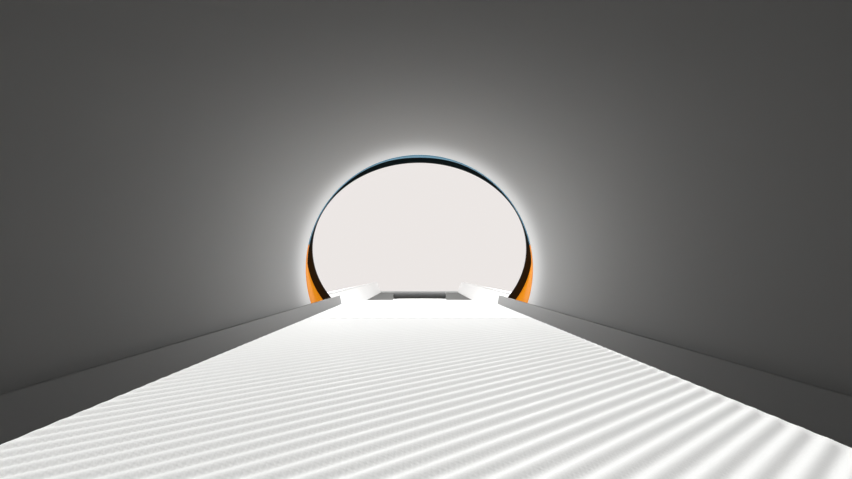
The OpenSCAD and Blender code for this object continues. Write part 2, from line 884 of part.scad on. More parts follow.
// Long diagonal ribs, wide enough to cover the main pad
module rib_sheet() {
    steps = 6;
    span = (top_head + pad_joint) * cos(rib_angle) + pad_w;
    count = ceil(span / rib_pitch);
    surface = [for (i = [0:count * steps]) [(i / steps - count / 2) * rib_pitch, rib_height(i, steps)]];
    middle_y = (top_head - pad_joint) / 2;
    reach = pad_w + 2 * span * sin(rib_angle);
    translate([0, middle_y, axis_h - pad_bottom]) rotate([0, 0, rib_angle + 90]) rotate([90, 0, 0])
        translate([0, 0, -reach / 2]) linear_extrude(reach)
            polygon(concat([[-count / 2 * rib_pitch, -1]], surface, [[count / 2 * rib_pitch, -1]]));
}

module main_pad() color("white") intersection() {
    slab(-pad_joint + joint_gap, top_head - head_wall - joint_gap) pad_view();
    rib_sheet();
}

module foot_pad() color("white") {
    slab(-top_foot, -pad_joint - joint_gap) pad_view();
    slab(-tongue_end, -top_foot + 1) translate([-tongue_half, axis_h - pad_bottom])
        square([2 * tongue_half, pad_t]);
}

// Round bar on two arms beyond the tongue, for pulling the tabletop out by hand
module pull_bar() color("gray") {
    bar_z = axis_h - bar_drop;
    translate([-bar_len / 2, -bar_y, bar_z]) rotate([0, 90, 0]) cylinder(h = bar_len, r = bar_d / 2);
    for (side = [-1, 1]) {
        translate([side * arm_x - arm_w / 2, -bar_y, axis_h - pad_bottom - arm_t])
            cube([arm_w, bar_reach, arm_t]);
        translate([side * arm_x - arm_w / 2, -bar_y - seat_len / 2, axis_h - pad_bottom - arm_t])
            cube([arm_w, seat_len, pad_bottom - bar_drop + arm_t]);
    }
}

feet();
vacuum_vessel();
cold_mass();
service_turret();
cold_head();
vent_pipe();
gradient_coil();
body_coil();
bore_liner();
light_ring_front();
light_ring_rear();
mouth_upper();
accent_left();
accent_right();
mouth_trim();
rear_mouth();
rear_trim();
bridge_tray();
bore_rails();
cover_frame();
front_cover();
rear_cover();
side_cover_left();
side_cover_right();
top_cover();
light_window();
panel_left();
panel_right();
button_left_1();
button_left_2();
button_left_3();
button_left_4();
stop_left();
button_right_1();
button_right_2();
button_right_3();
button_right_4();
stop_right();
table_base();
column_outer();
column_mid();
column_inner();
skirt_lower();
skirt_mid();
skirt_upper();
table_frame();
rail_left();
rail_right();
foot_cap();
bearing_blocks();
drive_motor();
drive_pulley();
idler_pulley();
drive_belt();
tabletop();
glides();
drive_hook();
main_pad();
foot_pad();
pull_bar();
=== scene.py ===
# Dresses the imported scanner: mouldings, ribbed pads, finishes, lamps and camera. All sizes are in metres.
import math

import bmesh
import bpy
import numpy as np
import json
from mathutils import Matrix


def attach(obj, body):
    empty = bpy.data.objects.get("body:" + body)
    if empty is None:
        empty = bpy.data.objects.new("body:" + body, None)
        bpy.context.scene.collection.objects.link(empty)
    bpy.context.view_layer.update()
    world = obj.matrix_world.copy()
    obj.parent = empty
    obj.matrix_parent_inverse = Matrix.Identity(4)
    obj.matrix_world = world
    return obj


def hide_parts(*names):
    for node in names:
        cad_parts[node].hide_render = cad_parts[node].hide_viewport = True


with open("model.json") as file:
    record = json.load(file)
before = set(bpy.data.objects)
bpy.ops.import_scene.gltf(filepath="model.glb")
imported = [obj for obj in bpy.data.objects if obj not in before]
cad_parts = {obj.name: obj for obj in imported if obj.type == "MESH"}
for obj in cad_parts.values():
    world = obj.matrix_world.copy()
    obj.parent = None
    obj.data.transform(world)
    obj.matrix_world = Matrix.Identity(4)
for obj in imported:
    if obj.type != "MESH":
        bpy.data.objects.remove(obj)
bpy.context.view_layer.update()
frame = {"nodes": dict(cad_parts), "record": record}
slotOf = {part["node"]: part["material_slot"] for part in frame["record"]["subparts"]}
bodyOf = {node: body for body, nodes in frame["record"]["behaviour"]["bodies"].items() for node in nodes}
print("loaded", len(slotOf), "nodes")

# Places shared by several pieces
scanner = {"axisHeight": 1.060, "boreRadius": 0.350, "linerEnd": 0.705, "mouthBack": 0.713,
           "mouthFront": 0.852, "face": 0.865, "mouthRise": 0.067}
mouthCentre = scanner["axisHeight"] + scanner["mouthRise"]
sides = ((-1, "left"), (1, "right"))
turn = 2 * math.pi


# Finishes

scuffs = {"height": 0.35, "scale": 14.0, "detail": 5.0, "dark": 0.45}
coatRough = 0.12


def setInputs(node, values):
    for key, value in values.items():
        node.inputs[key].default_value = value


def addNode(tree, kind, values=None, links=None, **settings):
    node = tree.nodes.new(kind)
    for key, value in settings.items():
        setattr(node, key, value)
    setInputs(node, values or {})
    for key, socket in (links or {}).items():
        tree.links.new(socket, node.inputs[key])
    return node


def calc(tree, operation, first, second):
    # one step of arithmetic, where either side may be a number or a socket
    node = tree.nodes.new("ShaderNodeMath")
    node.operation = operation
    for place, value in enumerate((first, second)):
        if isinstance(value, (int, float)):
            node.inputs[place].default_value = value
        else:
            tree.links.new(value, node.inputs[place])
    return node.outputs[0]


def toned(tree, factor, dark, light, low=0.3, high=0.7):
    # a colour that runs from dark to light as the factor rises
    ramp = addNode(tree, "ShaderNodeValToRGB", links={"Fac": factor})
    for stop, place, colour in zip(ramp.color_ramp.elements, (low, high), (dark, light)):
        stop.position = place
        stop.color = (*colour, 1)
    return ramp.outputs["Color"]


def texture(tree, kind, place, values, output=0, **settings):
    # the value of a pattern at each place
    return addNode(tree, "ShaderNodeTex" + kind, values, {"Vector": place}, **settings).outputs[output]


def ranged(tree, value, values, **settings):
    # a value carried over from one range to another
    return addNode(tree, "ShaderNodeMapRange", values, {"Value": value}, **settings).outputs[0]


def newMaterial(name):
    material = bpy.data.materials.new(name)
    material.use_nodes = True
    return material


def grainHeight(tree, place, look):
    # the fine relief of a surface, from 0 to 1
    scale = look["grainScale"]
    kind = look["grain"]
    if kind == "pebble":
        return texture(tree, "Voronoi", place, {"Scale": scale}, "Distance")
    if kind == "brushed":
        drawn = addNode(tree, "ShaderNodeMapping", {"Scale": look["stretch"]}, {"Vector": place}).outputs[0]
        return texture(tree, "Noise", drawn, {"Scale": scale, "Detail": 6.0})
    if kind == "woven":
        warp = texture(tree, "Wave", place, {"Scale": scale}, "Fac", bands_direction="X")
        weft = texture(tree, "Wave", place, {"Scale": scale}, "Fac", bands_direction="Y")
        return calc(tree, "MULTIPLY", warp, weft)
    if kind == "wound":
        return texture(tree, "Wave", place, {"Scale": scale, "Distortion": 0.4}, "Fac", bands_direction="Y")
    return texture(tree, "Noise", place, {"Scale": scale, "Detail": 3.0})


def makeFinish(name, look):
    # a surface with clouded colour, uneven gloss, a fine relief and scuffs near the floor
    look = {**plainLook, **look}
    material = newMaterial(name)
    tree = material.node_tree
    shader = tree.nodes["Principled BSDF"]
    place = addNode(tree, "ShaderNodeTexCoord").outputs["Object"]
    cloud = texture(tree, "Noise", place, {"Scale": look["cloudScale"], "Detail": 3.0, "Roughness": 0.6})
    colour = np.array(look["colour"])
    light = np.minimum(colour * (1 + look["vary"] / 3), 1)
    base = toned(tree, cloud, colour * (1 - look["vary"]), light)
    if look["scuff"]:
        height = addNode(tree, "ShaderNodeSeparateXYZ", links={0: place}).outputs[2]
        low = ranged(tree, height, {"From Min": 0.0, "From Max": scuffs["height"], "To Min": 1.0,
                                    "To Max": 0.0})
        marks = texture(tree, "Noise", place, {"Scale": scuffs["scale"], "Detail": scuffs["detail"]})
        worn = calc(tree, "MULTIPLY", calc(tree, "MULTIPLY", low, marks), look["scuff"])
        base = addNode(tree, "ShaderNodeMixRGB", {"Color2": (*(colour * scuffs["dark"]), 1)},
                       {"Fac": worn, "Color1": base}).outputs[0]
    tree.links.new(base, shader.inputs["Base Color"])
    rough, roughVary = look["rough"], look["roughVary"]
    gloss = ranged(tree, cloud, {"To Min": rough - roughVary, "To Max": rough + roughVary})
    tree.links.new(gloss, shader.inputs["Roughness"])
    bump = addNode(tree, "ShaderNodeBump", {"Strength": look["bump"], "Distance": look["bumpDepth"]},
                   {"Height": grainHeight(tree, place, look)})
    tree.links.new(bump.outputs[0], shader.inputs["Normal"])
    setInputs(shader, {"Metallic": look["metal"], "Coat Weight": look["coat"], "Coat Roughness": coatRough,
                       "Sheen Weight": look["sheen"], "Specular IOR Level": look["specular"]})
    # glow is emission: the light diffuser's own light, and painted light on the orange and blue accents
    if look["glow"]:
        setInputs(shader, {"Emission Color": (*look["colour"], 1), "Emission Strength": look["glow"]})
    return material


plainLook = {"colour": (0.8, 0.8, 0.8), "vary": 0.04, "cloudScale": 3.0, "rough": 0.4, "roughVary": 0.05,
             "grain": "skin", "grainScale": 400.0, "bump": 0.08, "bumpDepth": 0.0004, "metal": 0.0,
             "coat": 0.0, "sheen": 0.0, "specular": 0.5, "glow": 0.0, "scuff": 0.0, "stretch": (1, 1, 1)}
looks = {
    "cover_white": {"colour": (0.76, 0.76, 0.75), "rough": 0.32, "coat": 0.25, "grainScale": 260.0,
                    "bump": 0.05, "scuff": 0.5},
    "liner_gray": {"colour": (0.48, 0.48, 0.471), "vary": 0.03, "rough": 0.6, "grain": "pebble",
                   "grainScale": 900.0, "bump": 0.05, "bumpDepth": 0.0003, "specular": 0.15},
    # the accents' glow is painted light: an emission that brightens their inward faces in the mouth, which
    # lie in shade
    "accent_orange": {"colour": (0.95, 0.32, 0.012), "rough": 0.5, "specular": 0.03, "grainScale": 220.0,
                      "glow": 0.46},
    "accent_blue": {"colour": (0.12, 0.38, 0.56), "rough": 0.4, "specular": 0.1, "grainScale": 220.0,
                    "glow": 0.15},
    "trim_black": {"colour": (0.020, 0.020, 0.016), "rough": 0.6, "specular": 0.25, "grain": "pebble",
                   "grainScale": 700.0, "bump": 0.15},
    "light_diffuser": {"colour": (0.80, 0.80, 0.80), "vary": 0.01, "rough": 0.5, "specular": 0.2,
                       "glow": 0.34},
    "deck_gray": {"colour": (0.19, 0.19, 0.185), "rough": 0.8, "specular": 0.05, "grain": "pebble",
                  "grainScale": 500.0, "bump": 0.12},
    "tabletop_gray": {"colour": (0.42, 0.42, 0.415), "rough": 0.5, "specular": 0.2, "grainScale": 300.0,
                      "vary": 0.03},
    "pad_white": {"colour": (0.90, 0.90, 0.885), "vary": 0.015, "rough": 0.55, "grain": "woven",
                  "grainScale": 160.0, "bump": 0.10, "bumpDepth": 0.0003, "sheen": 0.1, "specular": 0.3},
    "bar_gray": {"colour": (0.20, 0.20, 0.20), "rough": 0.45, "specular": 0.3, "grain": "pebble",
                 "grainScale": 600.0, "bump": 0.1},
    "steel_gray": {"colour": (0.10, 0.105, 0.11), "rough": 0.5, "grainScale": 180.0, "bump": 0.2,
                   "scuff": 0.4},
    "vessel_steel": {"colour": (0.58, 0.59, 0.60), "rough": 0.34, "metal": 1.0, "grain": "brushed",
                     "grainScale": 60.0, "stretch": (1, 14, 1), "bump": 0.15, "roughVary": 0.1},
    "coil_copper": {"colour": (0.62, 0.28, 0.13), "rough": 0.35, "metal": 1.0, "grain": "wound",
                    "grainScale": 60.0, "bump": 0.35, "bumpDepth": 0.0008, "vary": 0.15},
    "coil_resin": {"colour": (0.40, 0.34, 0.17), "rough": 0.45, "vary": 0.15, "cloudScale": 9.0,
                   "bump": 0.2, "grainScale": 120.0},
    "window_glass": {"colour": (0.02, 0.025, 0.03), "rough": 0.08, "roughVary": 0.02, "coat": 0.6,
                     "bump": 0.01},
    "panel_gray": {"colour": (0.24, 0.255, 0.27), "rough": 0.45, "grain": "pebble", "grainScale": 800.0,
                   "bump": 0.12},
    "button_silver": {"colour": (0.66, 0.67, 0.68), "rough": 0.3, "coat": 0.3, "grainScale": 500.0},
    "stop_red": {"colour": (0.50, 0.012, 0.010), "rough": 0.28, "coat": 0.4, "grainScale": 500.0},
    "belt_rubber": {"colour": (0.015, 0.015, 0.015), "rough": 0.7, "grain": "wound", "grainScale": 60.0,
                    "bump": 0.4, "bumpDepth": 0.001},
    "glide_plastic": {"colour": (0.72, 0.72, 0.69), "rough": 0.4, "grainScale": 200.0, "vary": 0.06},
    "column_metal": {"colour": (0.62, 0.63, 0.64), "rough": 0.3, "metal": 1.0, "grain": "brushed",
                     "grainScale": 80.0, "stretch": (12, 12, 1), "bump": 0.12, "roughVary": 0.08},
}
finishes = {slot: makeFinish(slot, look) for slot, look in looks.items()}
for node, piece in frame["nodes"].items():
    for holder in piece.material_slots:
        holder.material = finishes[slotOf[node]]
print("made", len(finishes), "finishes")


# Meshes

sharpAngle = 35
endRings = 5
roundSteps = 64


def addThing(name, data):
    # a new object with this data, placed in the scene
    thing = bpy.data.objects.new(name, data)
    bpy.context.scene.collection.objects.link(thing)
    return thing


def gridQuads(rows, cols, closeRows, closeCols):
    # each quad joins a point to its neighbours in the next row and the next column
    row, col = np.meshgrid(np.arange(rows if closeRows else rows - 1),
                           np.arange(cols if closeCols else cols - 1), indexing="ij")
    nextRow, nextCol = (row + 1) % rows, (col + 1) % cols
    quads = np.stack([row * cols + col, row * cols + nextCol, nextRow * cols + nextCol,
                      nextRow * cols + col], -1)
    return quads.reshape(-1, 4)


def makePiece(name, points, nodes, closeRows=False, closeCols=False, sharp=sharpAngle, finish=None):
    # a closed solid from a grid of points, which stands for its nodes and moves with their body;
    # open edges that form a loop are closed with one flat face
    rows, cols = points.shape[:2]
    faces = gridQuads(rows, cols, closeRows, closeCols).tolist()
    if closeCols and not closeRows:
        faces += [list(range(cols)), list(range((rows - 1) * cols, rows * cols))]
    if closeRows and not closeCols:
        faces += [list(range(0, rows * cols, cols)), list(range(cols - 1, rows * cols, cols))]
    mesh = bpy.data.meshes.new(name)
    mesh.from_pydata(points.reshape(-1, 3).tolist(), [], faces)
    shape = bmesh.new()
    shape.from_mesh(mesh)
    bmesh.ops.remove_doubles(shape, verts=shape.verts, dist=1e-6)
    bmesh.ops.recalc_face_normals(shape, faces=shape.faces)
    shape.to_mesh(mesh)
    shape.free()
    mesh.shade_smooth()
    mesh.set_sharp_from_angle(angle=math.radians(sharp))
    piece = addThing(name, mesh)
    slot = slotOf[nodes[0]]
    mesh.materials.append(finish or finishes[slot])
    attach(piece, bodyOf[nodes[0]])
    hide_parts(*nodes)
    return piece


def bend(start, corner, end, t):
    # a curve from start to end that aims at the corner: (1-t)^2 start + 2t(1-t) corner + t^2 end
    return (1 - t) ** 2 * start + 2 * t * (1 - t) * corner + t ** 2 * end


def rectangle(centre, size):
    # the four corners of a rectangle round its centre
    (x, y), (w, h) = centre, (size[0] / 2, size[1] / 2)
    return [[x - w, y - h], [x + w, y - h], [x + w, y + h], [x - w, y + h]]


def mirrored(half):
    # the corners of a half outline, then their mirror images in reverse, which closes it
    half = np.asarray(half)
    return np.concatenate([half, (half * [-1, 1])[::-1]])


def softCorners(corners, cut, steps=5):
    # closed outline with each corner replaced by a bend that starts and ends a cut away from it
    corners = np.asarray(corners, float)
    cut = np.broadcast_to(np.asarray(cut, float), len(corners))[:, None]
    back = np.roll(corners, 1, axis=0) - corners
    ahead = np.roll(corners, -1, axis=0) - corners
    start = corners + back / np.linalg.norm(back, axis=1, keepdims=True) * cut
    end = corners + ahead / np.linalg.norm(ahead, axis=1, keepdims=True) * cut
    t = np.linspace(0, 1, steps)[None, :, None]
    return bend(start[:, None], corners[:, None], end[:, None], t).reshape(-1, 2)


def drawnIn(outline, inset):
    # closed outline moved inwards along its normals, which are square to the line between both neighbours
    along = np.roll(outline, -1, axis=0) - np.roll(outline, 1, axis=0)
    normal = np.stack([-along[:, 1], along[:, 0]], 1)
    normal /= np.maximum(np.linalg.norm(normal, axis=1, keepdims=True), 1e-9)
    x, y = outline[:, 0], outline[:, 1]
    turnsLeft = np.sum(x * np.roll(y, -1) - y * np.roll(x, -1)) > 0
    return outline + normal * (inset if turnsLeft else -inset)


def roundedEnds(low, high, edge, steps=endRings):
    # places along a solid and the inset at each, with a quarter round at either end:
    # place = edge (1 - cos a), inset = edge (1 - sin a)
    a = np.linspace(0, math.pi / 2, steps)
    place, inset = edge * (1 - np.cos(a)), edge * (1 - np.sin(a))
    return np.concatenate([low + place, high - place[::-1]]), np.concatenate([inset, inset[::-1]])


def carried(outline, axis, places, insets):
    # an outline carried along an axis, drawn in by the inset at each place
    return np.stack([np.insert(drawnIn(outline, inset), axis, place, axis=1)
                     for place, inset in zip(places, insets)])


def barAlongBore(outline, low, high, edge):
    # a front outline carried along the bore, with rounded ends
    return carried(outline, 1, *roundedEnds(low, high, edge))


def gridOf(x, y, z):
    # rows and columns of points from three arrays that fit each other
    return np.stack(np.broadcast_arrays(x, y, z), -1)


def turned(section, x, z, steps=roundSteps):
    # a section of radius and place along the bore, turned round an axis along the bore:
    # x = axis + radius cos a, z = axis + radius sin a
    a = np.linspace(0, turn, steps, endpoint=False)[None, :]
    radius, y = section[:, :1], section[:, 1:]
    return gridOf(x + radius * np.cos(a), y, z + radius * np.sin(a))


def aroundBore(section, steps=256):
    return turned(section, 0, scanner["axisHeight"], steps)


def sheetPiece(name, outer, inner, nodes, closeCols=False, **more):
    # a shell between an outer and an inner surface, both given as rows and columns of points
    points = np.concatenate([outer, inner[::-1]])
    return makePiece(name, points, nodes, closeRows=True, closeCols=closeCols, **more)


# Bore and mouths

# painted light on the liner: for each glow, the end it runs from, its strength and its length
liner = {"outer": 0.356, "edge": 0.002, "ringEdge": 0.0008, "recess": 0.0018, "steps": 320,
         "paintedGlows": ((1, 0.34, 0.10), (1, 0.075, 0.50), (-1, 0.34, 0.10))}


def linerWithPaintedLight():
    # matte moulding with painted light on it: an emission that stands in for the light of the end rings
    # falling on it, the front one's also further in:
    # light = the sum of glow exp(-(distance / length)^2), each for one end
    material = makeFinish("liner_painted_light", looks["liner_gray"])
    tree = material.node_tree
    shader = tree.nodes["Principled BSDF"]
    place = addNode(tree, "ShaderNodeTexCoord").outputs["Object"]
    y = addNode(tree, "ShaderNodeSeparateXYZ", links={0: place}).outputs[1]
    light = 0.0
    for side, glow, length in liner["paintedGlows"]:
        distance = calc(tree, "ADD", calc(tree, "MULTIPLY", y, side), scanner["linerEnd"])
        share = calc(tree, "DIVIDE", distance, length)
        fall = calc(tree, "EXPONENT", calc(tree, "MULTIPLY", calc(tree, "MULTIPLY", share, share), -1), 0)
        light = calc(tree, "ADD", light, calc(tree, "MULTIPLY", fall, glow))
    # the painted light goes into the liner as emission
    tree.links.new(light, shader.inputs["Emission Color"])
    shader.inputs["Emission Strength"].default_value = 1.0
    return material


def buildBore():
    # the liner and a light ring at either end, soft-cornered sections turned round the bore axis
    r, outer, end, steps = scanner["boreRadius"], liner["outer"], scanner["linerEnd"], liner["steps"]
    tube = softCorners([[r, -end], [outer, -end], [outer, end], [r, end]], liner["edge"])
    makePiece("boreLiner", aroundBore(tube, steps), ["bore_liner"], closeRows=True, closeCols=True,
              finish=linerWithPaintedLight())
    shown = r + liner["recess"]
    for word, side in (("front", -1), ("rear", 1)):
        near, far = side * end, side * scanner["mouthBack"]
        ring = softCorners([[shown, near], [outer, near], [outer, far], [shown, far]], liner["ringEdge"])
        makePiece("ring_" + word, aroundBore(ring, steps), ["light_ring_" + word], closeRows=True,
                  closeCols=True)


mouth = {"halfWidth": 0.389, "halfHeight": 0.3155, "wall": 0.00776, "passage": 0.934, "passageLow": 0.852,
         "passageHalf": 0.3103, "gap": 0.0008, "rows": 24, "cols": 129, "swell": 1.25, "full": 0.12}


def fuller(wave, power):
    # sign(wave) |wave|^(2 / power): a power above 2 fills the shoulders of an oval
    return np.sign(wave) * np.abs(wave) ** (2 / power)


def mouthRows():
    # for each row, the share v of the mouth's length and v^swell, the share of the oval in its shape
    v = np.linspace(0, 1, mouth["rows"])[:, None]
    return v, v ** mouth["swell"]


def mouthSurface(a, margin):
    # from the round bore (v = 0) to the oval (v = 1): radius, centre and fullness are mixed by v^swell
    v, mix = mouthRows()
    power = 2 + mouth["full"] * mix
    r = scanner["boreRadius"] + margin
    centre = scanner["axisHeight"] + scanner["mouthRise"] * mix
    x = (r * (1 - mix) + (mouth["halfWidth"] + margin) * mix) * fuller(np.cos(a), power)
    z = centre + (r * (1 - mix) + (mouth["halfHeight"] + margin) * mix) * fuller(np.sin(a), power)
    return gridOf(x, -scanner["mouthBack"] - (scanner["mouthFront"] - scanner["mouthBack"]) * v, z)


def angleAtHeight(height):
    # the turn, in each row, at which the mouth's surface passes a height: the surface's z solved for a
    mix = mouthRows()[1]
    centre = scanner["axisHeight"] + scanner["mouthRise"] * mix
    rise = scanner["boreRadius"] * (1 - mix) + mouth["halfHeight"] * mix
    wave = np.clip((height - centre) / rise, -1, 1)
    return np.arcsin(np.sign(wave) * np.abs(wave) ** (1 + mouth["full"] * mix / 2))


def buildMouth():
    # three shells of one surface, parted at the height of its centre and ended at the passage
    middle = angleAtHeight(mouthCentre)
    foot = angleAtHeight(mouth["passage"] + mouth["gap"])
    t = np.linspace(0, 1, mouth["cols"])[None, :]
    spans = {"mouth_upper": (middle, math.pi - middle), "accent_right": (foot, middle),
             "accent_left": (math.pi - middle, math.pi - foot)}
    for node, (first, last) in spans.items():
        a = first + (last - first) * t
        sheetPiece("shell_" + node, mouthSurface(a, mouth["wall"]), mouthSurface(a, 0), [node])


trim = {"halfWidth": 0.369, "halfHeight": 0.298, "width": 0.028, "front": 0.868, "back": 0.852,
        "round": (0.002, 0.002, 0.004, 0.013), "steps": 361}


def buildTrim():
    # a rounded section carried round an oval, from the passage on one side over the top to the other:
    # x = (half width + out) cos a, z = centre + (half height + out) sin a
    foot = math.asin((mouth["passage"] - mouthCentre) / trim["halfHeight"])
    a = np.linspace(foot, math.pi - foot, trim["steps"])[None, :]
    width, back, front = trim["width"], -trim["back"], -trim["front"]
    section = softCorners([[0, back], [width, back], [width, front], [0, front]], trim["round"])
    out, y = section[:, :1], section[:, 1:]
    x = (trim["halfWidth"] + out) * np.cos(a)
    z = np.maximum(mouthCentre + (trim["halfHeight"] + out) * np.sin(a), mouth["passage"])
    makePiece("mouthTrim", gridOf(x, y, z), ["mouth_trim"], closeRows=True)


rear = {"flare": 0.050, "swell": 1.3, "wall": 0.008, "trimIn": 0.394, "trimOut": 0.408, "edge": 0.004,
        "rows": 20}


def buildRearMouth():
    # radius = bore radius + flare v^swell, which opens faster towards the rim
    v = np.linspace(0, 1, rear["rows"])
    y = scanner["mouthBack"] + (scanner["mouthFront"] - scanner["mouthBack"]) * v
    inner = np.stack([scanner["boreRadius"] + rear["flare"] * v ** rear["swell"], y], 1)
    section = np.concatenate([inner, (inner + [rear["wall"], 0])[::-1]])
    makePiece("rearMouth", aroundBore(section), ["rear_mouth"], closeRows=True, closeCols=True)
    near, far, back, front = rear["trimIn"], rear["trimOut"], trim["back"], trim["front"]
    lip = softCorners([[near, back], [far, back], [far, front], [near, front]], rear["edge"])
    makePiece("rearTrim", aroundBore(lip), ["rear_trim"], closeRows=True, closeCols=True)


buildBore()
buildMouth()
buildTrim()
buildRearMouth()
print("built the bore and both mouths")

# Covers

vent = {"x": -0.080, "y": 0.180, "z": 2.290, "hole": 0.103, "reach": 0.05}
covers = {"halfWidth": 1.040, "low": 0.025, "high": 2.300, "crown": 0.600, "foot": 0.120,
          "leastFoot": 0.008, "wall": 0.008, "shoulder": 0.640, "seam": 0.003, "gap": 0.0006,
          "split": 1.760, "edge": 0.0025, "middle": 1.0, "cols": 360, "rows": 14, "rowPower": 0.8,
          "pathSteps": 200, "pathSplits": 9, "pathEvery": 5}
# inset and depth of the points that shape the bulged edge, from the seam to the flat face
bulge = {"hem": (0.0025, 0.6395), "shoulder": (0.0, 0.641), "lean": (0.004, 0.735), "bevel": (0.022, 0.790),
         "corner": (0.034, 0.862), "face": (0.125, 0.865)}


def coverOutline(inset, steps=120):
    # the front outline drawn in by an inset: four arcs whose centres stay, joined by straight sides
    half, low, high = covers["halfWidth"] - inset, covers["low"] + inset, covers["high"] - inset
    top, foot = covers["crown"] - inset, max(covers["foot"] - inset, covers["leastFoot"])
    radius = np.repeat([top, top, foot, foot], steps)
    centreX = np.repeat([half - top, -half + top, -half + foot, half - foot], steps)
    centreZ = np.repeat([high - top, high - top, low + foot, low + foot], steps)
    a = np.concatenate([np.linspace(0, 90, steps) + 90 * i for i in range(4)]) * math.pi / 180
    return np.stack([centreX + radius * np.cos(a), centreZ + radius * np.sin(a)], 1)


def atAngles(outline, centreZ, a):
    # the points of an outline at given angles round a centre, by interpolation between its own points
    angle = np.arctan2(outline[:, 1] - centreZ, outline[:, 0]) % turn
    order = np.argsort(angle)
    x = np.interp(a, angle[order], outline[order, 0], period=turn)
    z = np.interp(a, angle[order], outline[order, 1], period=turn)
    return np.stack([x, z], 1)


def openingHalves(margin):
    # half width and half height of the front opening's oval, which is the trim's outer edge
    return trim["halfWidth"] + trim["width"] + margin, trim["halfHeight"] + trim["width"] + margin


def frontHole(a, margin):
    # edge of the front opening: the oval down to the passage, and the passage's box below it;
    # reach of the oval = 1 / sqrt((cos a / half width)^2 + (sin a / half height)^2)
    halfX, halfZ = openingHalves(margin)
    tiny = 1e-6
    oval = 1 / np.sqrt((np.cos(a) / halfX) ** 2 + (np.sin(a) / halfZ) ** 2)
    down = np.maximum(-np.sin(a), tiny)
    across = np.maximum(np.abs(np.cos(a)), tiny)
    upper = np.minimum(oval, (mouthCentre - mouth["passage"] + margin) / down)
    box = np.minimum((mouth["passageHalf"] + margin) / across,
                     (mouthCentre - mouth["passageLow"] + margin) / down)
    reach = np.where(np.sin(a) < 0, np.maximum(upper, box), oval)
    return np.stack([reach * np.cos(a), mouthCentre + reach * np.sin(a)], 1)


def frontCorners(margin):
    # the turns at which the front opening has its corners: where the oval meets the passage's shelf,
    # where the shelf meets the passage's side, and at the passage's lower corner
    halfX, halfZ = openingHalves(margin)
    half = mouth["passageHalf"] + margin
    shelf, low = mouth["passage"] - margin - mouthCentre, mouth["passageLow"] - margin - mouthCentre
    a = np.arctan2([shelf, shelf, low], [halfX * math.sqrt(1 - (shelf / halfZ) ** 2), half, half])
    return np.concatenate([a, math.pi - a])


def rearHole(a, margin):
    # edge of the rear opening, a circle round the bore axis
    reach = rear["trimOut"] + margin
    return np.stack([reach * np.cos(a), scanner["axisHeight"] + reach * np.sin(a)], 1)


def coverProfile():
    # inset and depth of the bulged edge: a small hem, then one bend up to the bevel and one on to the face
    side = bend(bulge["shoulder"], bulge["lean"], bulge["bevel"], np.linspace(0, 1, 10)[:, None])
    front = bend(bulge["bevel"], bulge["corner"], bulge["face"], np.linspace(0, 1, 14)[:, None])
    return np.concatenate([[bulge["hem"]], side, front[1:]])


def faceCover(name, node, side, hole, corners, centreZ):
    # a bulged cover in rows round a centre: over the edge's profile, then across the face to the opening,
    # face = edge (1 - v) + rim v
    outline = coverOutline(0)
    outlineAngles = np.arctan2(outline[:, 1] - centreZ, outline[:, 0])
    even = np.linspace(0, turn, covers["cols"], endpoint=False)
    a = np.unique(np.round(np.concatenate([even, corners % turn, outlineAngles % turn]), 5))
    v = np.linspace(0, 1, covers["rows"])[1:, None, None] ** covers["rowPower"]
    skins = []
    for thickness in (0.0, covers["wall"]):
        edge = np.stack([np.insert(atAngles(coverOutline(inset + thickness), centreZ, a), 1,
                                   side * (y - thickness), axis=1) for inset, y in coverProfile()])
        rim = np.insert(hole(a, covers["gap"]), 1, side * (scanner["face"] - thickness), axis=1)
        skins.append(np.concatenate([edge, edge[-1:] * (1 - v) + rim[None] * v]))
    sheetPiece(name, skins[0], skins[1], [node], closeCols=True, sharp=50)


def shellAlong(path, low, high):
    # a sheet of one thickness: a rounded section of depth and place along the bore, carried along a path
    along = np.gradient(path, axis=0)
    normal = np.stack([along[:, 1], -along[:, 0]], 1)
    normal /= np.linalg.norm(normal, axis=1, keepdims=True)
    depth = -covers["wall"]
    section = softCorners([[0, low], [0, high], [depth, high], [depth, low]], covers["edge"])
    spot = path[None] + section[:, :1, None] * normal[None]
    return gridOf(spot[..., 0], section[:, 1:], spot[..., 1])


def outlinePart(keep):
    # the points of the outline that pass a test, densely and in order from right over the top to the left:
    # point = corner (1 - t) + next corner t
    outline = coverOutline(0, covers["pathSteps"])
    following = np.roll(outline, -1, axis=0)
    t = np.linspace(0, 1, covers["pathSplits"])[None, :-1, None]
    dense = (outline[:, None] * (1 - t) + following[:, None] * t).reshape(-1, 2)
    angle = np.arctan2(dense[:, 1] - covers["middle"], dense[:, 0])
    dense = dense[np.argsort((angle + math.pi / 2) % turn)]
    return dense[keep(dense[:, 0], dense[:, 1])][::covers["pathEvery"]]


def cutRound(piece, centre, radius, reach, lean=0.0):
    # a boolean cut with a cylinder that reaches as far to both sides of its centre, tipped by lean
    bpy.ops.mesh.primitive_cylinder_add(vertices=roundSteps, radius=radius, depth=2 * reach,
                                        rotation=(lean, 0, 0), location=centre)
    cutter = bpy.context.object
    cut = piece.modifiers.new("cut", "BOOLEAN")
    cut.operation = "DIFFERENCE"
    cut.object = cutter
    bpy.context.view_layer.objects.active = piece
    bpy.ops.object.modifier_apply(modifier=cut.name)
    bpy.data.objects.remove(cutter)
    piece.data.set_sharp_from_angle(angle=math.radians(sharpAngle))


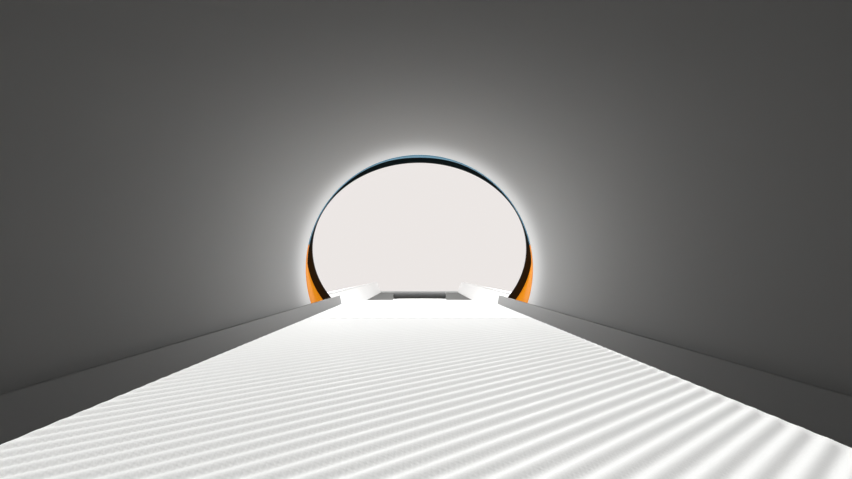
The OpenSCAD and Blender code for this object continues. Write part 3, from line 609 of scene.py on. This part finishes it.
def buildCovers():
    # bulged front and rear covers, and between their seams a sheet on either side and one over the top
    faceCover("frontCover", "front_cover", -1, frontHole, frontCorners(covers["gap"]), mouthCentre)
    faceCover("rearCover", "rear_cover", 1, rearHole, np.zeros(0), scanner["axisHeight"])
    inner = covers["shoulder"] - covers["seam"]
    foot = covers["halfWidth"] - covers["foot"]
    right = outlinePart(lambda x, z: (z < covers["split"] - covers["seam"]) & (x > foot))
    sheet = shellAlong(right, -inner, inner)
    makePiece("sideCoverRight", sheet, ["side_cover_right"], closeRows=True)
    makePiece("sideCoverLeft", sheet * [-1, 1, 1], ["side_cover_left"], closeRows=True)
    top = outlinePart(lambda x, z: z > covers["split"])
    lid = makePiece("topCover", shellAlong(top, -inner, inner), ["top_cover"], closeRows=True)
    cutRound(lid, (vent["x"], vent["y"], vent["z"]), vent["hole"], vent["reach"])


buildCovers()
print("built the covers")

# Controls

panel = {"x": 0.620, "z": 1.090, "width": 0.130, "height": 0.220, "front": -0.881, "corner": 0.018,
         "edge": 0.005, "pocket": 0.0133, "pocketReach": 0.011, "stopPocket": 0.0113, "stopReach": 0.014,
         "stopDrop": 0.062, "rise": 0.030, "pitch": 0.046}


def buttonSpots(side):
    # the centres of the four push buttons of a panel, two by two
    x, z, pitch = side * panel["x"], panel["z"] + panel["rise"], panel["pitch"]
    return [(x + (i % 2 - 0.5) * pitch, z + (0.5 - i // 2) * pitch) for i in range(4)]


def buildPanels():
    # a soft-cornered block whose front edge is a quarter round, with a pocket behind each button
    a = np.linspace(0, math.pi / 2, 6)
    places = np.concatenate([[-scanner["face"]], panel["front"] + panel["edge"] * (1 - np.sin(a))])
    insets = np.concatenate([[0], panel["edge"] * (1 - np.cos(a))])
    for side, word in sides:
        x, z = side * panel["x"], panel["z"]
        outline = softCorners(rectangle((x, z), (panel["width"], panel["height"])), panel["corner"], 12)
        points = carried(outline, 1, places, insets)
        piece = makePiece("panel_" + word + "_shell", points, ["panel_" + word], closeCols=True)
        pockets = [(spot, panel["pocket"], panel["pocketReach"]) for spot in buttonSpots(side)]
        pockets.append(((x, z - panel["stopDrop"]), panel["stopPocket"], panel["stopReach"]))
        for (spotX, spotZ), radius, reach in pockets:
            cutRound(piece, (spotX, panel["front"], spotZ), radius, reach, math.pi / 2)


button = {"radius": 0.013, "back": -0.873, "front": -0.884, "dish": 0.0006, "edge": 0.0012, "bevel": 0.0004,
          "rings": 6}
stop = {"radius": 0.020, "neck": 0.011, "back": -0.873, "capBack": -0.886, "capFront": -0.898,
        "crown": 0.0035, "edge": 0.0015, "bevel": 0.001, "side": 0.002, "lip": 0.0004, "lipRise": 0.0006,
        "rings": 10}


def buildButtons():
    # profiles of radius and depth whose ends lie on the axis, turned round the button's centre
    # push button: dish = depth (1 - (r / radius)^2)
    radius, front, edge, bevel = button["radius"], button["front"], button["edge"], button["bevel"]
    r = np.linspace(1, 0, button["rings"]) * (radius - edge)
    face = np.stack([r, front + button["dish"] * (1 - (r / r[0]) ** 2)], 1)
    push = np.concatenate([[[0, button["back"]], [radius, button["back"]], [radius, front + edge],
                            [radius - bevel, front + bevel]], face])
    # stop button: crown = height (1 - (r / radius)^2)
    radius, back, bevel = stop["radius"], stop["capBack"], stop["bevel"]
    rim = stop["capFront"] + stop["crown"]
    r = np.linspace(1, 0, stop["rings"]) * (radius - stop["edge"])
    dome = np.stack([r, stop["capFront"] + stop["crown"] * (r / r[0]) ** 2], 1)
    knob = np.concatenate([[[0, stop["back"]], [stop["neck"], stop["back"]], [stop["neck"], back],
                            [radius - bevel, back], [radius, back - bevel], [radius, rim + stop["side"]],
                            [radius - stop["lip"], rim + stop["lipRise"]]], dome])
    for side, word in sides:
        for i, (x, z) in enumerate(buttonSpots(side), 1):
            makePiece(f"cap_{word}_{i}", turned(push, x, z), [f"button_{word}_{i}"], closeCols=True)
        points = turned(knob, side * panel["x"], panel["z"] - panel["stopDrop"])
        makePiece(f"knob_{word}", points, [f"stop_{word}"], closeCols=True)


lightWindow = {"width": 0.120, "height": 0.036, "z": 1.520, "front": -0.869, "corner": 0.008,
               "edge": 0.0012}


def buildLightWindow():
    # a thin soft-cornered pane above the mouth
    outline = softCorners(rectangle((0, lightWindow["z"]), (lightWindow["width"], lightWindow["height"])),
                          lightWindow["corner"], 10)
    points = barAlongBore(outline, lightWindow["front"], -scanner["face"], lightWindow["edge"])
    makePiece("lightWindow", points, ["light_window"], closeCols=True)


buildPanels()
buildButtons()
buildLightWindow()
print("built the controls")

# Patient table

table = {"deckHalf": 0.300, "deck": 0.884, "railTop": 0.964, "lean": 0.030, "out": 0.366, "low": 0.752,
         "head": -0.872, "frameEnd": -2.694, "foot": -2.710, "lipTop": 0.894}
rail = {"crestDrop": 0.004, "crestIn": 0.005, "shoulderIn": 0.008, "shoulderDrop": 0.009,
        "skirtRise": 0.040, "skirtIn": 0.030, "overlap": 0.0001, "deckCut": 0.0005, "lipCut": 0.003,
        "cuts": (0.002, 0.002, 0.0035, 0.005, 0.012, 0.012, 0.0005), "endEdge": 0.0004, "footEdge": 0.0022,
        "ringStep": 0.0001}


def railCorners():
    # front outline of the right rail moulding, from the deck over the rail and down to its foot
    half, top, low, out = table["deckHalf"], table["railTop"], table["low"], table["out"]
    crest = half + table["lean"]
    return [[half, table["deck"]], [crest, top - rail["crestDrop"]], [crest + rail["crestIn"], top],
            [out - rail["shoulderIn"], top], [out, top - rail["shoulderDrop"]],
            [out, low + rail["skirtRise"]], [out - rail["skirtIn"], low], [half + rail["overlap"], low]]


def buildRails():
    # both rail mouldings, and the foot moulding that carries their outline across the deck's end
    for side, word in sides:
        corners = np.array(railCorners()) * [side, 1]
        outline = softCorners(corners, (rail["deckCut"], *rail["cuts"]), 6)
        points = barAlongBore(outline, table["frameEnd"], table["head"], rail["endEdge"])
        makePiece("railMoulding_" + word, points, ["rail_" + word], closeCols=True, sharp=40)
    # the lip ends where it meets the rail's leaning inner side
    share = (table["lipTop"] - table["deck"]) / (table["railTop"] - rail["crestDrop"] - table["deck"])
    lip = [table["deckHalf"] + table["lean"] * share, table["lipTop"]]
    cuts = (rail["lipCut"], *rail["cuts"])
    outline = softCorners(mirrored([lip] + railCorners()[1:]), cuts + cuts[::-1], 6)
    # only the free end is rounded, the other end meets the rails
    points = barAlongBore(outline, table["foot"], table["frameEnd"], rail["footEdge"])
    places = table["frameEnd"] - rail["ringStep"] * np.arange(endRings)[::-1]
    points[endRings:] = carried(outline, 1, places, np.zeros(endRings))
    makePiece("footMoulding", points, ["foot_cap"], closeCols=True, sharp=40)


pedestal = {"centre": -1.783, "width": 0.560, "length": 1.240, "corner": 0.060, "wall": 0.005,
            "step": 0.008, "edge": 0.0015,
            "spans": {"lower": (0.0205, 0.322, 2), "mid": (0.297, 0.537, 1), "upper": (0.507, 0.752, 0)}}


def buildSkirts():
    # each skirt is a wall with rounded upper and lower edges, carried round the pedestal's plan
    wall = pedestal["wall"]
    for word, (low, high, steps) in pedestal["spans"].items():
        inset = pedestal["step"] * steps
        size = (pedestal["width"] - 2 * inset, pedestal["length"] - 2 * inset)
        plan = softCorners(rectangle((0, pedestal["centre"]), size), pedestal["corner"] - inset, 12)
        section = softCorners([[0, low], [0, high], [wall, high], [wall, low]], pedestal["edge"])
        points = carried(plan, 2, section[:, 1], section[:, 0])
        makePiece("skirt_" + word + "_shell", points, ["skirt_" + word], closeRows=True, closeCols=True)


buildRails()
buildSkirts()
print("built the table")

# Tabletop, pads and pull bar

tray = {"half": 0.26829, "base": 0.890, "floor": 0.906, "bilge": (0.009, 0.011), "rimTop": 0.962,
        "rimIn": 0.27601, "rimFoot": 0.26559, "wall": 0.007, "lip": (0.003, 0.004),
        "cuts": (0.005, 0.005, 0.002, 0.0014, 0.0014, 0.001), "head": 0.816, "end": -0.880,
        "endEdge": 0.0004, "padHead": 0.8155, "overlap": 0.002, "foot": -1.054, "tongueHalf": 0.107,
        "tongueEnd": -1.134, "footEdge": 0.0015, "footCuts": (0.001, 0.012, 0.010, 0.014)}
headWall = {"halfLow": 0.262, "halfTop": 0.266, "rise": 0.001, "top": 0.932, "end": 0.826, "edge": 0.003}


def buildTabletop():
    # the tray: a front outline with leaning rims, mirrored from its right half and carried along the bore
    half, base, level, wall = tray["half"], tray["base"], tray["floor"], tray["wall"]
    rimIn, top = tray["rimIn"], tray["rimTop"]
    right = [[half, base], [half + tray["bilge"][0], base + tray["bilge"][1]],
             [rimIn + wall, top - tray["lip"][1]], [rimIn + wall - tray["lip"][0], top], [rimIn, top],
             [tray["rimFoot"], level]]
    outline = softCorners(mirrored(right), tray["cuts"] + tray["cuts"][::-1])
    points = barAlongBore(outline, tray["end"], tray["head"], tray["endEdge"])
    makePiece("tableTray", points, ["tabletop"], closeCols=True)
    # the flat foot and its tongue, one plan outline drawn in at its upper and lower edge
    tongue, foot = tray["tongueHalf"], tray["foot"]
    left = [[-half, tray["end"] + tray["overlap"]], [-half, foot], [-tongue, foot],
            [-tongue, tray["tongueEnd"]]]
    plan = softCorners(mirrored(left), tray["footCuts"] + tray["footCuts"][::-1], 8)
    points = carried(plan, 2, *roundedEnds(base, level, tray["footEdge"], 4))
    makePiece("tableFoot", points, ["tabletop"], closeCols=True)
    # the low wall across the head end, up to the mattress
    low, high, top = headWall["halfLow"], headWall["halfTop"], headWall["top"]
    foot = base + headWall["rise"]
    outline = softCorners([[-low, foot], [low, foot], [high, top], [-high, top]], headWall["edge"])
    points = barAlongBore(outline, tray["padHead"], headWall["end"], headWall["edge"])
    makePiece("headWall", points, ["tabletop"], closeCols=True)


pads = {"low": 0.9062, "top": 0.934, "halfLow": 0.2650, "halfTop": 0.2705, "round": 0.003, "joint": -0.420,
        "seamGap": 0.0004, "endGap": 0.0005, "crown": 0.0012, "ribPitch": 0.0163, "ribDepth": 0.0034,
        "ribAngle": 37.2, "hem": 0.006, "sewnDepth": 0.0012, "sewnWidth": 0.06, "shoulder": 0.020,
        "tongueHalf": 0.1065, "mainGrid": (470, 170), "footGrid": (360, 40)}


def ribDip(x, y):
    # depth below the broad crests: dip = depth |cos(pi u)|^3
    a = math.radians(pads["ribAngle"])
    u = (y * math.cos(a) - x * math.sin(a)) / pads["ribPitch"]
    return pads["ribDepth"] * np.abs(np.cos(math.pi * u)) ** 3


def padSurface(yLow, yHigh, grid, ribs, share=None):
    # a section round the pad, carried along it: flat bottom, leaning sides with a sewn line, round upper
    # edges and a top that falls by crown (x / half)^2, each end drawn in by a quarter round; the ribs lie
    # on the top alone, by height^8, and fade out towards its hem by the smooth step f^2 (3 - 2f)
    rows, cols = grid
    r, low, top, halfTop = pads["round"], pads["low"], pads["top"], pads["halfTop"]
    length = yHigh - yLow
    a = np.linspace(0, math.pi / 2, 6)
    place, drawn = r * (1 - np.cos(a)), r * (1 - np.sin(a))
    v = np.concatenate([place, np.linspace(r, length - r, rows)[1:-1], length - place[::-1]]) + yLow
    inset = np.concatenate([drawn, np.zeros(rows - 2), drawn[::-1]])
    rise = np.linspace(0, 1, 9)[:-1]
    sewn = pads["sewnDepth"] * np.exp(-((rise - 0.5) / pads["sewnWidth"]) ** 2)
    wall = pads["halfLow"] + (halfTop - pads["halfLow"]) * rise - sewn
    wallHeight = low + (top - low - r) * rise
    edge, edgeHeight = halfTop - r + r * np.cos(a[:-1]), top - r + r * np.sin(a[:-1])
    flat = (halfTop - r) * np.linspace(-1, 1, cols)[::-1]
    bottom = wall[0] * np.linspace(-1, 1, 9)[1:-1]
    xs = np.concatenate([wall, edge, flat, -edge[::-1], -wall[::-1], bottom])
    zs = np.concatenate([wallHeight, edgeHeight, np.full(cols, top), edgeHeight[::-1], wallHeight[::-1],
                         np.full(len(bottom), low)])
    gridX = xs[None, :] * (np.ones(len(v)) if share is None else share(v))[:, None]
    gridX = gridX - np.sign(gridX) * np.minimum(inset[:, None], np.abs(gridX))
    y = v[:, None]
    high = np.clip((zs[None, :] - low) / (top - low), 0, 1)
    gridZ = zs[None, :] - pads["crown"] * (xs[None, :] / halfTop) ** 2 * high - inset[:, None] * high ** 4
    if ribs:
        fromEnd = np.minimum(y - yLow, yHigh - y)
        fade = np.clip(np.minimum(fromEnd, halfTop - np.abs(gridX)) / pads["hem"], 0, 1)
        gridZ = gridZ - ribDip(gridX, y) * (fade * fade * (3 - 2 * fade)) * high ** 8
    return gridOf(gridX, y, gridZ)


def footShare(y):
    # share of the full width along the foot pad: round shoulders, then the tongue;
    # shoulder = 1 - radius / half (1 - sqrt(1 - s^2))
    radius, half = pads["shoulder"], pads["halfTop"]
    s = np.clip((tray["foot"] + radius - y) / radius, 0, 1)
    shoulder = 1 - (radius / half) * (1 - np.sqrt(1 - s ** 2))
    return np.where(y < tray["foot"], pads["tongueHalf"] / half, shoulder)


def buildPads():
    # the ribbed main pad and the plain foot pad, a hair apart at their joint
    joint, gap = pads["joint"], pads["seamGap"]
    surface = padSurface(joint + gap, tray["padHead"], pads["mainGrid"], True)
    main = makePiece("mainPad", surface, ["main_pad"], closeCols=True, sharp=80,
                     finish=makeFinish("ribbed_cover", looks["pad_white"]))
    end = tray["tongueEnd"] + pads["endGap"]
    surface = padSurface(end, joint - gap, pads["footGrid"], False, footShare)
    foot = makePiece("footPad", surface, ["foot_pad"], closeCols=True, sharp=60)


bar = {"radius": 0.01275, "half": 0.111, "y": -1.184, "z": 0.945, "dome": 0.006, "blunt": 0.999, "rings": 8}
# size, edge and place of the bar's arms, and the depth and height of the points that shape their path
arm = {"x": 0.098, "size": (0.012, 0.011), "edge": 0.003, "root": (-1.115, 0.900),
       "start": (-1.1335, 0.900), "corner": (-1.184, 0.898), "end": (-1.184, 0.936), "steps": 14}


def buildBar():
    # the grip: a round bar with domed ends, radius = r sqrt(1 - s^4) over the last stretch
    half, dome = bar["half"], bar["dome"]
    s = np.linspace(1, 0, bar["rings"])
    end = bar["radius"] * np.sqrt(1 - (bar["blunt"] * s) ** 4)
    radius = np.concatenate([end, end[::-1]])[:, None]
    x = np.concatenate([-half + dome * (1 - s), half - dome * (1 - s[::-1])])[:, None]
    a = np.linspace(0, turn, roundSteps, endpoint=False)[None, :]
    y, z = bar["y"] + radius * np.cos(a), bar["z"] + radius * np.sin(a)
    makePiece("grip", gridOf(x, y, z), ["pull_bar"], closeCols=True)
    # each arm: a soft section carried along a bent path, level first and then up into the grip
    t = np.linspace(0, 1, arm["steps"])[:, None]
    path = np.concatenate([[arm["root"]], bend(arm["start"], arm["corner"], arm["end"], t)])
    along = np.gradient(path, axis=0)
    along /= np.linalg.norm(along, axis=1, keepdims=True)
    normal = np.stack([-along[:, 1], along[:, 0]], 1)
    section = softCorners(rectangle((0, 0), arm["size"]), arm["edge"])
    yz = path[:, None] + normal[:, None] * section[None, :, 1:]
    for side, word in sides:
        points = gridOf(side * arm["x"] + section[:, 0], yz[..., 0], yz[..., 1])
        makePiece("arm_" + word, points, ["pull_bar"], closeCols=True)


buildTabletop()
buildPads()
buildBar()
print("built the tabletop, pads and bar")

# Stage, lamps and camera

stage = {"pale": (0.84, 0.80, 0.78), "front": 0.66, "back": 0.28, "frontAt": -0.8, "backAt": 0.6,
         "floor": 0.70, "floorSize": 60.0, "floorDrop": 0.0005, "fadeFrom": 3.0, "fadeTo": 7.5}


def buildWorld():
    # pale for what the camera sees; what lights the object is brighter towards the table than behind
    world = bpy.data.worlds.new("studio")
    bpy.context.scene.world = world
    world.use_nodes = True
    tree = world.node_tree
    tree.nodes.clear()
    way = addNode(tree, "ShaderNodeTexCoord").outputs["Generated"]
    y = addNode(tree, "ShaderNodeSeparateXYZ", links={0: way}).outputs[1]
    level = ranged(tree, y, {"From Min": stage["frontAt"], "From Max": stage["backAt"],
                             "To Min": stage["front"], "To Max": stage["back"]})
    light = addNode(tree, "ShaderNodeBackground", {"Color": (1, 1, 1, 1)}, {"Strength": level})
    seen = addNode(tree, "ShaderNodeBackground", {"Color": (*stage["pale"], 1), "Strength": 1.0})
    path = addNode(tree, "ShaderNodeLightPath")
    shown = calc(tree, "MAXIMUM", path.outputs["Is Camera Ray"],
                 calc(tree, "MAXIMUM", path.outputs["Is Glossy Ray"], path.outputs["Is Transmission Ray"]))
    mix = addNode(tree, "ShaderNodeMixShader", links={0: shown, 1: light.outputs[0], 2: seen.outputs[0]})
    addNode(tree, "ShaderNodeOutputWorld", links={"Surface": mix.outputs[0]})


def buildFloor():
    # a plain pale floor that passes into the background away from the object
    plan = rectangle((0, 0), (stage["floorSize"], stage["floorSize"]))
    mesh = bpy.data.meshes.new("floor")
    mesh.from_pydata([(x, y, -stage["floorDrop"]) for x, y in plan], [], [(0, 1, 2, 3)])
    floor = addThing("floor", mesh)
    material = newMaterial("floor")
    tree = material.node_tree
    tree.nodes.clear()
    place = addNode(tree, "ShaderNodeTexCoord").outputs["Object"]
    away = addNode(tree, "ShaderNodeVectorMath", links={0: place}, operation="LENGTH").outputs["Value"]
    fade = ranged(tree, away, {"From Min": stage["fadeFrom"], "From Max": stage["fadeTo"]},
                  interpolation_type="SMOOTHSTEP")
    gray = stage["floor"]
    paint = addNode(tree, "ShaderNodeBsdfDiffuse", {"Color": (gray, gray, gray, 1)})
    glow = addNode(tree, "ShaderNodeEmission", {"Color": (*stage["pale"], 1), "Strength": 1.0})
    path = addNode(tree, "ShaderNodeLightPath")
    shown = calc(tree, "MAXIMUM", path.outputs["Is Camera Ray"], path.outputs["Is Glossy Ray"])
    share = calc(tree, "MULTIPLY", fade, shown)
    mix = addNode(tree, "ShaderNodeMixShader", links={0: share, 1: paint.outputs[0], 2: glow.outputs[0]})
    addNode(tree, "ShaderNodeOutputMaterial", links={"Surface": mix.outputs[0]})
    mesh.materials.append(material)


def aimed(thing, target):
    # turns a lamp or camera so that it looks at a point
    way = np.array(target) - np.array(thing.location)
    level = math.hypot(way[0], way[1])
    thing.rotation_euler = (math.pi / 2 + math.atan2(way[2], level), 0, math.atan2(-way[0], way[1]))


frontLamp = {"to": (0, -0.8, 1.1), "size": (1.4, 2.2), "power": 76.0, "spread": 180}
lamps = {
    "frontRight": {**frontLamp, "at": (2.0, -6.5, 1.35)},
    "frontLeft": {**frontLamp, "at": (-2.0, -6.5, 1.35)},
    "keyBox": {"at": (4.5, -4.0, 4.2), "to": (0, -0.8, 0.9), "size": (3.0, 3.0), "power": 46.0,
               "spread": 180},
    "tableBox": {"at": (0.0, -1.1, 3.3), "to": (0, -2.4, 0.9), "size": (2.2, 1.0), "power": 23.0,
                 "spread": 120},
    "backBox": {"at": (-3.5, 4.5, 4.0), "to": (0, 0.4, 1.4), "size": (3.0, 2.0), "power": 70.0,
                "spread": 120},
}


def addLamp(name, lamp):
    # a rectangular area lamp, unseen itself
    data = bpy.data.lights.new(name, "AREA")
    data.shape = "RECTANGLE"
    data.size, data.size_y = lamp["size"]
    data.energy = lamp["power"]
    data.spread = math.radians(lamp["spread"])
    thing = addThing(name, data)
    thing.location = lamp["at"]
    aimed(thing, lamp["to"])
    thing.visible_camera = False
    return thing


def buildLamps():
    for name, lamp in lamps.items():
        addLamp(name, lamp)


padLamp = {"at": (1.03, -2.92, 6.13), "to": (0.0, -0.10, 0.934), "size": (1.2, 1.2), "power": 470.0,
           "spread": 180}


def buildPadLamp():
    # a soft lamp over the pads alone: it adds no light to the bore around them
    lamp = addLamp("padBox", padLamp)
    group = bpy.data.collections.new("padGroup")
    for name in ("mainPad", "footPad"):
        group.objects.link(bpy.data.objects[name])
    lamp.light_linking.receiver_collection = group
    lamp.light_linking.blocker_collection = group
    lamp.data.cycles.max_bounces = 0
    lamp.visible_glossy = False


flag = {"y": 0.600, "low": 0.967, "radius": 0.344, "steps": 97}


def buildFlag():
    # a black screen behind the camera, unseen itself, that keeps the light behind out of the bore
    radius, steps = flag["radius"], flag["steps"]
    low = math.asin((flag["low"] - scanner["axisHeight"]) / radius)
    a = np.linspace(low, math.pi - low, steps)
    x, z = radius * np.cos(a), scanner["axisHeight"] + radius * np.sin(a)
    mesh = bpy.data.meshes.new("flag")
    mesh.from_pydata(np.stack([x, np.full(steps, flag["y"]), z], 1).tolist(), [], [list(range(steps))])
    black = newMaterial("flag")
    shader = black.node_tree.nodes["Principled BSDF"]
    setInputs(shader, {"Base Color": (0, 0, 0, 1), "Specular IOR Level": 0})
    mesh.materials.append(black)
    screen = addThing("flag", mesh)
    screen.visible_camera = False
    screen.visible_glossy = False


view = {"at": (0.0024, 0.576, 1.042), "pitch": 4.50, "yaw": 0.953, "lens": 17.53, "sensor": 36.0,
        "near": 0.01, "far": 200.0}


def buildCamera():
    # the photographed view, from inside the bore towards the table's foot
    data = bpy.data.cameras.new("camera")
    data.lens = view["lens"]
    data.sensor_width = view["sensor"]
    data.clip_start = view["near"]
    data.clip_end = view["far"]
    camera = addThing("camera", data)
    camera.location = view["at"]
    camera.rotation_euler = (math.radians(90 + view["pitch"]), 0, math.radians(180 - view["yaw"]))
    bpy.context.scene.camera = camera


buildWorld()
buildFloor()
buildLamps()
buildPadLamp()
buildFlag()
buildCamera()
bpy.context.scene.view_settings.view_transform = "Standard"
print("placed the stage, lamps and camera")
